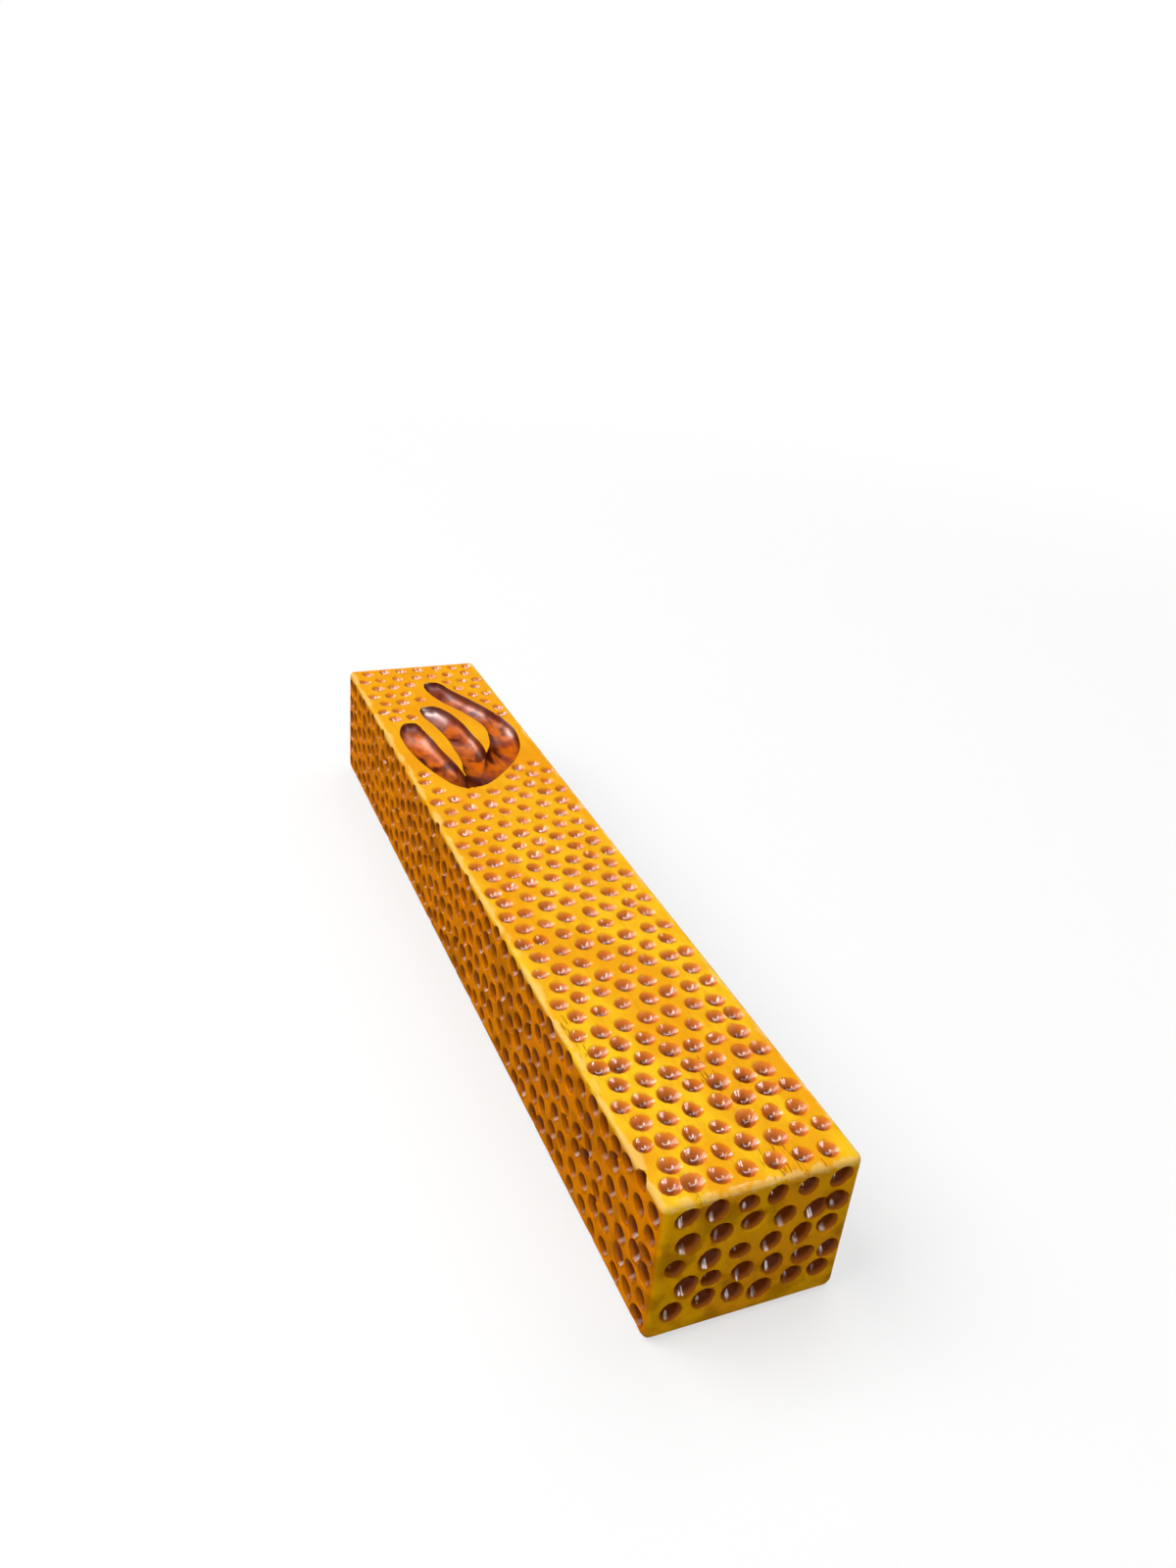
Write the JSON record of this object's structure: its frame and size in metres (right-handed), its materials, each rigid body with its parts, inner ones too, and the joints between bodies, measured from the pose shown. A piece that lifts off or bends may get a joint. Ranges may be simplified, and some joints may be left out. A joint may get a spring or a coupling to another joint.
{
  "type": "mezuzah case",
  "caption": "Carved wooden mezuzah case: a hollow rectangular block with a dovetailed back lid that slides out of its top end, and a rolled parchment inside.",
  "frame": {"origin": "centre of the flat back face, in the plane that goes against the doorpost", "axes": "+Y along the case to its top end, +Z out of the carved front, +X to the right as seen from the front with the top end up"},
  "size_m": [0.025, 0.142, 0.021],
  "materials": {
    "carved_wood": "amber stain under glossy lacquer",
    "lid_wood": "plain, oiled",
    "parchment": "matte"
  },
  "bodies": {
    "case": {"case_body": "carved_wood", "scroll": "parchment"},
    "lid": {"back_lid": "lid_wood"}
  },
  "joints": [
    {"name": "lid_slide", "type": "slide", "parent": "case", "child": "lid", "axis": [0, 1, 0], "range_m": [0, 0.13]}
  ]
}
